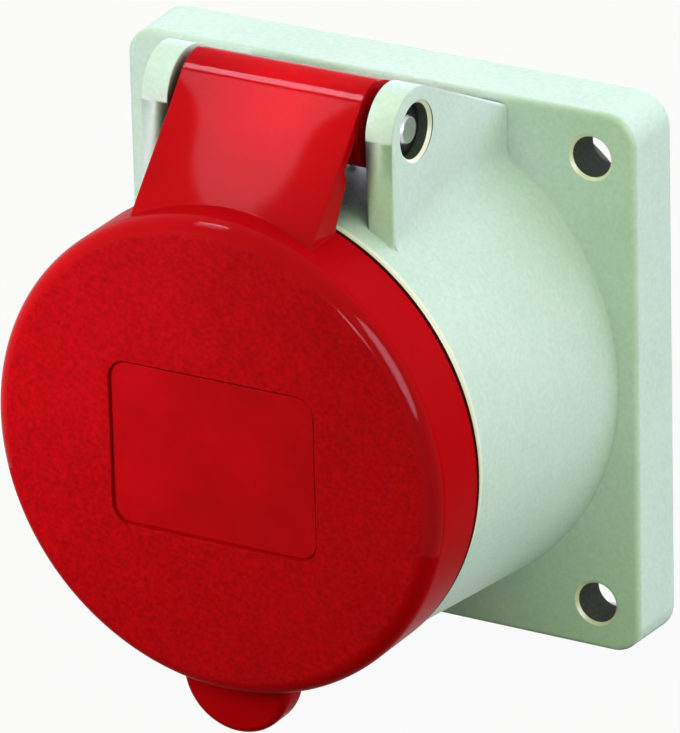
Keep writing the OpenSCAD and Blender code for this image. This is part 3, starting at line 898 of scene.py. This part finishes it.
            # The form ends a little inside the barrel and inside the ear, so that they join.
            under = (hollow[-1][0] * 0.95, hollow[-1][1] * 0.95)
            inside, low = flank - self.blend_inside, math.sqrt(barrel**2 - flank**2) - self.sunk
            outline = [(inside, cz), *hollow, under, (inside, low)]
            rings.append([Vector((side * x, -h, z)) * MM for x, z in outline])
        return loft(rings)

    def hole_mesh(self, x: int, z: int) -> bmesh.types.BMesh:
        """Fixing hole in one corner, its mouth broken by a small lip."""
        r, wide, top = self.hole_r, self.hole_r + self.lip, self.thick
        clear = top + self.past
        profile = [(0, -1), (r, -1), (r, top - self.lip), (wide, top), (wide, clear), (0, clear)]
        spot = Vector((x, 0, z)) * self.pitch / 2 * MM
        return revolved(profile, lambda r, h, turn: axial(r, h, turn) + spot)

    def rib_mesh(self) -> bmesh.types.BMesh:
        """Stop rib between the ears, on which the open lid's arm would come to rest."""
        back = self.hinge.h + self.rib_gap
        outline = rectangle(back, back + self.rib_t, self.rib_low, self.rib_top)
        return across(outline, -self.rib_half, self.rib_half)

    def bore_mesh(self) -> bmesh.types.BMesh:
        """Bore of the barrel, with the wider seat of the insert behind and a lip in front."""
        r, wide, clear = self.bore_r, self.bore_r + self.lip, self.rim_h + self.past
        return revolved([
            (0, -1), (self.seat_r, -1), (self.seat_r, self.seat_h), (r, self.seat_h),
            (r, self.rim_h - self.lip), (wide, self.rim_h), (wide, clear), (0, clear),
        ])

    def keyway_mesh(self) -> bmesh.types.BMesh:
        """Keyway at the bottom of the bore."""
        outline = rectangle(-self.key_half, self.key_half, self.key_low, self.key_top)
        return forward(outline, self.seat_h, self.rim_h + self.past)

    def sink_mesh(self, side: int) -> bmesh.types.BMesh:
        """Recess for the pin's end in an ear's flank, its mouth broken by a small lip."""
        r, wide = self.sink_r, self.sink_r + self.lip
        deep, mouth, clear = self.ear_out - self.sink_deep, self.ear_out + 0.2, self.ear_out + 9.5
        profile = [(0, deep), (r, deep), (r, mouth - self.lip), (wide, mouth), (wide, clear), (0, clear)]
        return revolved([(r, side * h) for r, h in profile], self.hinge.about)

    def build(self) -> bpy.types.Object:
        """Joins the moulding's forms and cuts its bores and holes."""
        hinge = self.hinge
        piece = new_piece("moulded_housing", self.flange_mesh())
        combine(piece, self.barrel_mesh(), Join.ADD)
        for side in (-1, 1):
            combine(piece, self.ear_mesh(side), Join.ADD)
            combine(piece, self.blend_mesh(side), Join.ADD)
        combine(piece, self.rib_mesh(), Join.ADD)
        inner = self.flange - 2 * self.recess_wall
        combine(piece, forward(rounded_rectangle(inner, inner, self.corner - 1), -1, self.recess), Join.CUT)
        combine(piece, self.bore_mesh(), Join.CUT)
        combine(piece, self.keyway_mesh(), Join.CUT)
        for x in (-1, 1):
            for z in (-1, 1):
                combine(piece, self.hole_mesh(x, z), Join.CUT)
        reach = self.ear_out + 9.5
        combine(piece, hinge.rod(hinge.pin_r + self.pin_gap, -reach, reach), Join.CUT)
        for side in (-1, 1):
            combine(piece, self.sink_mesh(side), Join.CUT)
        settle(piece)
        paint(piece, (HOUSING, BORE_SHADE, LIP_HIGHLIGHT), self.coat)
        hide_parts("housing")
        return piece

    def coat(self, x: float, h: float, z: float, normal: Vector) -> Finish:
        """Finish of a face: painted shade in the holes, painted highlight on their lips and on the barrel's
        rim.
        """
        hole = math.hypot(abs(x) - self.pitch / 2, abs(z) - self.pitch / 2)
        # Hole walls are painted dark as shade, their lips pale as highlight.
        if self.recess < h < self.thick and hole < self.hole_r + self.lip:
            return BORE_SHADE if abs(normal.y) < ALONG else LIP_HIGHLIGHT
        rim_r, rim_h = self.rim_r - self.rim_edge, self.rim_h - self.rim_edge
        # The barrel's rim is painted pale as highlight.
        if h > rim_h and math.hypot(x, z) > rim_r and z < self.rim_r:
            return LIP_HIGHLIGHT
        # The recess's wall is painted dark as shade, its lip pale as highlight.
        sink = math.hypot(h - self.hinge.h, z - self.hinge.z)
        outside = abs(x) > self.ear_out - self.sink_deep - 0.1
        if outside and self.sink_r - 0.1 < sink < self.sink_r + self.lip and abs(normal.x) < 0.9:
            return BORE_SHADE if abs(normal.x) < ALONG else LIP_HIGHLIGHT
        return HOUSING


@dataclass
class Lid:
    """The red moulding of cap, arm and thumb tab, in millimetres."""

    hinge: Hinge
    r: float = 36.5
    back_h: float = 46.3
    face_h: float = 59.0
    edge: float = 2.8
    back_edge: float = 0.5
    # Width of the skirt's back edge that is painted dark as shade.
    shaded_band: float = 1.1
    inner_r: float = 33.0
    inner_h: float = 56.4
    seal_r: float = 35.6
    seal_h: float = 48.8
    panel_w: float = 33.8
    panel_h: float = 25.5
    panel_r: float = 3.0
    panel_deep: float = 0.4
    groove: float = 0.35
    arm_half: float = 14.7
    arm_t: float = 2.0
    arm_edge: float = 0.45
    foot_in: float = 0.5
    under_from: float = 3.2
    under_to: float = 9.6
    wall_at: float = 10.4
    wall_deep: float = 3.8
    heel_in: float = 1.5
    hollow_long: float = 27.0
    hollow_turn: float = 150.0
    crown: float = 0.4
    knuckle_r: float = 6.9
    lip: float = 0.5
    lip_turn: float = 88.0
    eye_t: float = 3.0
    eye_gap: float = 0.05
    tab_r: float = 8.78
    tab_t: float = 5.0
    tab_front: float = 54.8
    tab_edge: float = 1.2
    tab_back_edge: float = 0.6
    tab_rise: float = 0.8
    nose_half: float = 5.0
    nose_top: float = -30.0
    nose_low: float = -33.4
    nose_long: float = 5.0
    handled_z: float = -8.0
    sunk: float = 2.0

    def foot(self) -> tuple[float, float]:
        """Point where the arm's outer plane meets the lid's front edge."""
        return self.face_h - self.edge - self.foot_in, math.sqrt(self.r**2 - self.arm_half**2)

    def slope(self) -> float:
        """Slope of the arm's outer plane in degrees."""
        h, z = self.foot()
        dh, dz = h - self.hinge.h, z - self.hinge.z
        return math.degrees(math.asin(self.knuckle_r / math.hypot(dh, dz)) - math.atan2(dz, dh))

    def arm_point(self, along: float, deep: float) -> tuple[float, float]:
        """Point so far along the arm's slope and so deep below its outer plane."""
        a = math.radians(self.slope())
        out = self.knuckle_r - deep
        return (self.hinge.h + out * math.sin(a) + along * math.cos(a),
                self.hinge.z + out * math.cos(a) - along * math.sin(a))

    def cap_mesh(self) -> bmesh.types.BMesh:
        """Cup of the lid with a round front edge and the seal's pocket."""
        back = arc((self.r - self.back_edge, self.back_h + self.back_edge), self.back_edge, -90, 0, 4)
        front = arc((self.r - self.edge, self.face_h - self.edge), self.edge, 0, 90, 14)
        return revolved([
            (0, self.inner_h), (self.inner_r, self.inner_h), (self.inner_r, self.seal_h),
            (self.seal_r, self.seal_h), (self.seal_r, self.back_h), *back,
            (self.r, self.back_h + self.shaded_band), *front, (0, self.face_h),
        ])

    def arm_mesh(self) -> bmesh.types.BMesh:
        """Outer form of the arm: stepped knuckle, plate and side walls."""
        centre = (self.hinge.h, self.hinge.z)
        slope = self.slope()
        h, z = self.foot()
        length = math.sqrt((h - centre[0]) ** 2 + (z - centre[1]) ** 2 - self.knuckle_r**2)
        small = self.knuckle_r - self.lip
        low = self.arm_point(self.under_to, self.arm_t)
        under = self.arm_point(self.under_from, self.arm_t)
        start = math.degrees(math.atan2(under[1] - centre[1], under[0] - centre[0]))
        ahead = [(length + self.sunk) * i / 14 for i in range(14, 0, -1)]
        heel = self.back_h + self.heel_in
        # The points from the heel on lie inside the cap, which the arm joins.
        rest = [
            *arc(centre, self.knuckle_r, 90 - slope, self.lip_turn, 14),
            *arc(centre, small, self.lip_turn + 0.5, 360 + start, 60),
            under, low, self.arm_point(self.wall_at, self.wall_deep), (heel, z + 1), (heel, z - 1),
            (h, z - 1.6), self.arm_point(length + self.sunk, self.arm_t),
        ]
        rings = []
        half_steps = 8
        for i in range(2 * half_steps + 1):
            x = self.arm_half * (i / half_steps - 1)
            outer = [self.arm_point(along, self.crown_at(x, along / length)) for along in ahead]
            rings.append([Vector((x, -p, q)) * MM for p, q in outer + rest])
        mesh = loft(rings)
        soften(mesh, end_edges(mesh), self.arm_edge)
        return mesh

    def crown_at(self, x: float, share: float) -> float:
        """How far the arm's skin falls away from its plane at a width and a share of its length."""
        side, fall = (x / self.arm_half) ** 2, max(0.0, share - 0.35) ** 2
        return self.crown * (side + fall) * min(1.0, share * 4)

    def hollow_mesh(self) -> bmesh.types.BMesh:
        """Space under the arm for the spring, open at the back and below."""
        centre = (self.hinge.h, self.hinge.z)
        r = self.knuckle_r - self.arm_t
        far = 22.0
        a = math.radians(self.hollow_turn)
        outline = [
            *arc(centre, r, 90 - self.slope(), self.hollow_turn, 24),
            (centre[0] + far * math.cos(a), centre[1] + far * math.sin(a)),
            (centre[0] - far, centre[1] - far), (centre[0] + far, centre[1] - far),
            self.arm_point(self.hollow_long, self.arm_t),
        ]
        half = self.arm_half - self.eye_t
        return across(outline, -half, half)

    def tab_mesh(self) -> bmesh.types.BMesh:
        """Round thumb tab at the bottom of the lid."""
        back, front = self.tab_front - self.tab_t, self.tab_front
        small, large = self.tab_back_edge, self.tab_edge
        profile = [
            (0, back), *arc((self.tab_r - small, back + small), small, -90, 0, 4),
            *arc((self.tab_r - large, front - large), large, 0, 90, 6), (0, front),
        ]
        drop = Vector((0, 0, self.tab_rise - self.r)) * MM
        return revolved(profile, lambda r, h, turn: axial(r, h, turn) + drop)

    def groove_mesh(self) -> bmesh.types.BMesh:
        """Fine groove round the floor of the sunk panel."""
        rings = []
        for inset, h in rectangle(0.0, self.groove, -self.groove, 1.0):
            w, tall = self.panel_w - 2 * inset, self.panel_h - 2 * inset
            points = rounded_rectangle(w, tall, self.panel_r - inset)
            rings.append([Vector((x, self.panel_deep - self.face_h - h, z)) * MM for x, z in points])
        return loft(rings, endless=True)

    def build(self) -> bpy.types.Object:
        """Joins arm, tab and cap and sinks the bare panel."""
        piece = new_piece("sprung_lid", self.arm_mesh())
        combine(piece, self.hollow_mesh(), Join.CUT)
        reach = self.hinge.pin_half
        combine(piece, self.hinge.rod(self.hinge.pin_r + self.eye_gap, -reach, reach), Join.CUT)
        combine(piece, self.tab_mesh(), Join.ADD)
        # What arm and tab leave inside the cap is cleared before the cap is joined.
        inside = rectangle(0, self.inner_r + 1, 40, self.inner_h + 0.5)
        combine(piece, revolved(inside), Join.CUT)
        combine(piece, self.cap_mesh(), Join.ADD)
        panel = rounded_rectangle(self.panel_w, self.panel_h, self.panel_r)
        combine(piece, forward(panel, self.face_h - self.panel_deep, self.face_h + self.sunk), Join.CUT)
        combine(piece, self.groove_mesh(), Join.CUT)
        nose = rectangle(-self.nose_half, self.nose_half, self.nose_low, self.nose_top)
        combine(piece, forward(nose, self.inner_h - self.nose_long, self.inner_h + 0.4), Join.ADD)
        settle(piece)
        paint(piece, (LID_GLOSS, LID_GRAIN, LID_PANEL, LID_RIM, LID_EDGE_SHADE), self.coat)
        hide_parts("lid")
        return piece

    def coat(self, x: float, h: float, z: float, normal: Vector) -> Finish:
        """Finish of a face: grained face, smooth panel, back edge painted dark as shade, handled rim,
        polished arm.
        """
        r = math.hypot(x, z)
        if normal.y < -0.98 and h > self.face_h - self.panel_deep - 0.05:
            return LID_GRAIN if h > self.face_h - 0.1 else LID_PANEL
        # The skirt's back edge is painted dark as shade.
        if self.back_h - 0.01 < h < self.back_h + self.shaded_band and self.seal_r < r < self.r + 0.01:
            return LID_EDGE_SHADE
        if h > self.back_h and (abs(r - self.r) < 0.05 or z < self.handled_z):
            return LID_RIM
        return LID_GLOSS


@dataclass
class Insert:
    """Contacts, carrier, terminal base and their screws, in millimetres."""

    pitch_r: float = 18.0
    clamp_h: float = -15.0
    clamp_tip: float = 2.4
    clamp_thread: tuple[float, float] = (2.0, 4.0)
    clamp_head: tuple[float, float] = (3.1, 2.4)
    base_r: float = 38.6
    base_tip: float = 7.5
    base_thread: tuple[float, float] = (1.45, 5.7)
    base_head: tuple[float, float] = (2.5, 1.5)
    carrier_tip: float = -7.0
    carrier_thread: tuple[float, float] = (2.0, 42.6)
    carrier_head: tuple[float, float] = (3.7, 2.4)
    screw_chamfer: float = 0.3
    head_chamfer: float = 0.15
    head_round: float = 0.35
    slot_half: float = 0.5

    def build(self) -> None:
        """Carries over the mouldings and contacts and makes the screws."""
        dress(carried_over("carrier_of_contacts", "contact_carrier"), INSERT, Body.SOCKET)
        dress(carried_over("base_of_terminals", "terminal_base"), INSERT, Body.SOCKET)
        for pole in ("earth", "l1", "l2", "l3", "neutral"):
            dress(carried_over(f"contact_{pole}", f"{pole}_sleeve"), BRASS, Body.SOCKET)
            dress(carried_over(f"spring_ring_{pole}", f"{pole}_ring_spring"), STEEL, Body.SOCKET)
        for make in (self.terminal_screws, self.base_screws, self.carrier_screw):
            dress(make(), STEEL, Body.SOCKET)

    def screw(
        self, place: Place, thread: tuple[float, float], head: tuple[float, float]
    ) -> bpy.types.Object:
        """A slotted screw.

        Args:
            place: Gives the point for a radius, a distance from the tip and an angle.
            thread: Radius and length of the thread.
            head: Radius and height of the head.

        Returns:
            The screw.
        """
        r, length = thread
        wide, tall = head
        top = length + tall
        tip, under, crown = self.screw_chamfer, self.head_chamfer, self.head_round
        profile = [
            (0, 0), (r - tip, 0), (r, tip), (r, length), (wide - under, length), (wide, length + under),
            *arc((wide - crown, top - crown), crown, 0, 90, 4), (0, top),
        ]
        piece = new_piece("screw", revolved(profile, place))
        floor = top - tall / 2

        def lift(u: float, v: float, side: int) -> Vector:
            turn = math.degrees(math.atan2(v, u))
            return place(math.hypot(u, v), (floor, top + 1)[side], turn)

        slot = rectangle(-wide - 1, wide + 1, -self.slot_half, self.slot_half)
        combine(piece, prism(slot, lift), Join.CUT)
        return piece

    def repeat(self, piece: bpy.types.Object, name: str, count: int) -> bpy.types.Object:
        """Repeats a screw evenly round the socket's axis with geometry nodes.

        Args:
            piece: The screw at its first place.
            name: The group's name.
            count: How many there are.

        Returns:
            The group as a plain mesh.
        """
        piece.name = name
        values = {"Count": count, "Step": math.radians(360 / count), "Material": STEEL.material()}
        run_tree(piece, ring_tree(), values)
        return settle(piece)

    def terminal_screws(self) -> bpy.types.Object:
        """Five clamp screws, pointing at the wires from outside."""

        def place(r: float, h: float, turn: float) -> Vector:
            a = math.radians(turn)
            out = self.pitch_r + self.clamp_tip + h
            return Vector((r * math.sin(a), -(self.clamp_h + r * math.cos(a)), -out)) * MM

        piece = self.screw(place, self.clamp_thread, self.clamp_head)
        group = self.repeat(piece, "clamp_screws", 5)
        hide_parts("terminal_screws")
        return group

    def base_screws(self) -> bpy.types.Object:
        """Four screws that hold the terminal base in the flange."""
        spot = axial(self.base_r, 0, 45)

        def place(r: float, h: float, turn: float) -> Vector:
            return axial(r, self.base_tip - h, turn) + spot

        piece = self.screw(place, self.base_thread, self.base_head)
        group = self.repeat(piece, "screws_of_base", 4)
        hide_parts("base_screws")
        return group

    def carrier_screw(self) -> bpy.types.Object:
        """The screw in the middle of the contact carrier."""

        def place(r: float, h: float, turn: float) -> Vector:
            return axial(r, self.carrier_tip + h, turn)

        piece = settle(self.screw(place, self.carrier_thread, self.carrier_head))
        piece.name = "screw_of_carrier"
        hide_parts("carrier_screw")
        return piece


@dataclass
class Studio:
    """Camera, floor and lights."""

    eye: tuple[float, float, float] = (0.59147, -1.03084, 0.50155)
    aim: tuple[float, float, float] = (-0.00846, -0.00803, -0.00654)
    up: tuple[float, float, float] = (-0.1748, 0.3478, 0.9211)
    lens: float = 430.9
    sensor: float = 36.0
    floor_z: float = -0.0446
    floor_half: float = 3.0
    floor_paint: str = "#6F8454"
    floor_glow: float = 0.95
    backdrop: tuple[float, float, float] = (2.3, 1.95, 3.25)
    room: tuple[float, float, float] = (0.66, 0.99, 0.4)
    strobe: tuple[float, float, float] = (1.0, 0.84, 1.04)

    def build(self) -> None:
        """Sets up the camera, the floor, the lamps and the white world."""
        self.camera()
        self.floor()
        # Softboxes light the forms, and cards only show as reflections in the gloss.
        self.lamp("front_softbox", (-0.06, -0.13, 0.032), 0.07, 0.073, Lit.FORMS)
        self.lamp("arm_softbox", (0.0, -0.12, 0.125), 0.015, 0.0012, Lit.FORMS, 18, (0.002, -0.042, 0.05))
        self.lamp("right_softbox", (0.5, 0.05, 0.1), 0.4, 0.5, Lit.FORMS)
        self.lamp("arm_card", (-0.075, -0.11, 0.165), 0.036, 0.032, Lit.GLOSS)
        self.lamp("knuckle_card", (-0.21, -0.11, 0.45), 0.1, 1.0, Lit.GLOSS)
        self.lamp("rim_card", (-0.02, -0.5, 0.02), 0.06, 0.4, Lit.GLOSS)
        self.lamp("edge_card", (0.62, -0.6, 0.35), 0.6, 22.0, Lit.GLOSS)
        self.world()
        bpy.context.scene.view_settings.view_transform = "Standard"

    def camera(self) -> None:
        """Places the camera at the photograph's viewpoint."""
        eye, aim = Vector(self.eye), Vector(self.aim)
        back = (eye - aim).normalized()
        right = Vector(self.up).cross(back).normalized()
        up = back.cross(right)
        data = bpy.data.cameras.new("viewpoint")
        data.lens = self.lens
        data.sensor_width = self.sensor
        camera = bpy.data.objects.new("viewpoint", data)
        camera.matrix_world = Matrix((
            (right.x, up.x, back.x, eye.x), (right.y, up.y, back.y, eye.y),
            (right.z, up.z, back.z, eye.z), (0, 0, 0, 1),
        ))
        bpy.context.collection.objects.link(camera)
        bpy.context.scene.camera = camera

    def seen(self, tree: bpy.types.NodeTree) -> bpy.types.NodeSocket:
        """One where a camera, glossy or transmitted ray looks, else zero."""
        path = add_node(tree, "ShaderNodeLightPath")
        total = path.outputs["Is Camera Ray"]
        for kind in ("Is Glossy Ray", "Is Transmission Ray"):
            total = add_node(
                tree, "ShaderNodeMath", {"operation": "MAXIMUM"}, {0: total, 1: path.outputs[kind]}
            ).outputs["Value"]
        return total

    def floor(self) -> None:
        """A wide floor, white to the eye with a faint shadow, that throws dim greenish light up."""
        mesh = bmesh.new()
        bmesh.ops.create_grid(mesh, x_segments=8, y_segments=8, size=self.floor_half)
        bmesh.ops.translate(mesh, verts=mesh.verts, vec=(0, 0, self.floor_z))
        piece = new_piece("studio_floor", mesh)
        material = bpy.data.materials.new("painted_floor")
        material.use_nodes = True
        tree = material.node_tree
        tree.nodes.clear()
        matt = add_node(tree, "ShaderNodeBsdfDiffuse", {"Color": srgb(self.floor_paint)})
        glow = add_node(tree, "ShaderNodeEmission", {"Color": (1, 1, 1, 1), "Strength": 1.0})
        share = add_node(
            tree, "ShaderNodeMath", {"operation": "MULTIPLY", 1: self.floor_glow}, {0: self.seen(tree)}
        )
        mix = add_node(
            tree, "ShaderNodeMixShader", None,
            {"Fac": share.outputs["Value"], 1: matt.outputs["BSDF"], 2: glow.outputs["Emission"]},
        )
        add_node(tree, "ShaderNodeOutputMaterial", None, {"Surface": mix.outputs["Shader"]})
        piece.data.materials.append(material)

    def lamp(
        self, name: str, at: Sequence[float], size: float, power: float, lights: Lit, spread: float = 180,
        aim: Sequence[float] = (0, -0.04, 0),
    ) -> None:
        """A round softbox or reflection card aimed at the part.

        Args:
            name: The lamp's name.
            at: Its place in metres.
            size: Its diameter in metres.
            power: Its power in watts.
            lights: What it lights.
            spread: How far its light fans out, in degrees.
            aim: The point that it faces.
        """
        data = bpy.data.lights.new(name, "AREA")
        data.shape = "DISK"
        data.size = size
        data.energy = power
        data.color = self.strobe
        data.spread = math.radians(spread)
        lamp = bpy.data.objects.new(name, data)
        lamp.location = at
        way = Vector(aim) - Vector(at)
        lamp.rotation_euler = way.to_track_quat("-Z", "Y").to_euler()
        lamp.visible_diffuse, lamp.visible_glossy = lights.value
        lamp.visible_camera = False
        bpy.context.collection.objects.link(lamp)

    def world(self) -> None:
        """A white surround to the eye: a lit backdrop behind the part and a dim room in front."""
        world = bpy.data.worlds.new("studio")
        bpy.context.scene.world = world
        world.use_nodes = True
        tree = world.node_tree
        tree.nodes.clear()
        way = add_node(tree, "ShaderNodeTexCoord").outputs["Generated"]
        parts = add_node(tree, "ShaderNodeSeparateXYZ", None, {"Vector": way}).outputs
        behind = add_node(tree, "ShaderNodeMath", {"operation": "MAXIMUM", 1: 0.0}, {0: parts["Y"]})
        colour = add_node(
            tree, "ShaderNodeVectorMath", {"operation": "MULTIPLY_ADD", 1: self.backdrop, 2: self.room},
            {0: behind.outputs["Value"]},
        )
        lit = add_node(tree, "ShaderNodeBackground", None, {"Color": colour.outputs["Vector"]})
        white = add_node(tree, "ShaderNodeBackground", {"Color": (1, 1, 1, 1), "Strength": 1.0})
        mix = add_node(
            tree, "ShaderNodeMixShader", None,
            {"Fac": self.seen(tree), 1: lit.outputs["Background"], 2: white.outputs["Background"]},
        )
        add_node(tree, "ShaderNodeOutputWorld", None, {"Surface": mix.outputs["Shader"]})


def main() -> None:
    """Builds every sub-assembly in order and logs each piece that it dresses."""
    logging.basicConfig(level=logging.INFO)
    hinge = Hinge()
    housing = Housing(hinge)
    Studio().build()
    dress(housing.build(), HOUSING, Body.SOCKET)
    dress(Lid(hinge).build(), LID_GLOSS, Body.LID)
    dress(hinge.build_pin(), STEEL, Body.SOCKET)
    # The near-black rings also stand in for the shade deep in the ears' recesses.
    dress(hinge.build_clips(), RING_STEEL_SHADE, Body.SOCKET)
    spring = hinge.build_spring(STEEL)
    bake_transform(spring)
    dress(carried_over("sealing_ring", "lid_seal"), RUBBER, Body.LID)
    far = housing.pitch / 2
    spots = [(x * far, z * far) for x in (-1, 1) for z in (-1, 1)]
    corners = [forward(circle(spot, GASKET_HOLE_R), -2, 6) for spot in spots]
    dress(carried_over("gasket_for_panel", "panel_gasket", corners), RUBBER, Body.SOCKET)
    Insert().build()


if __name__ == "__main__":
    main()
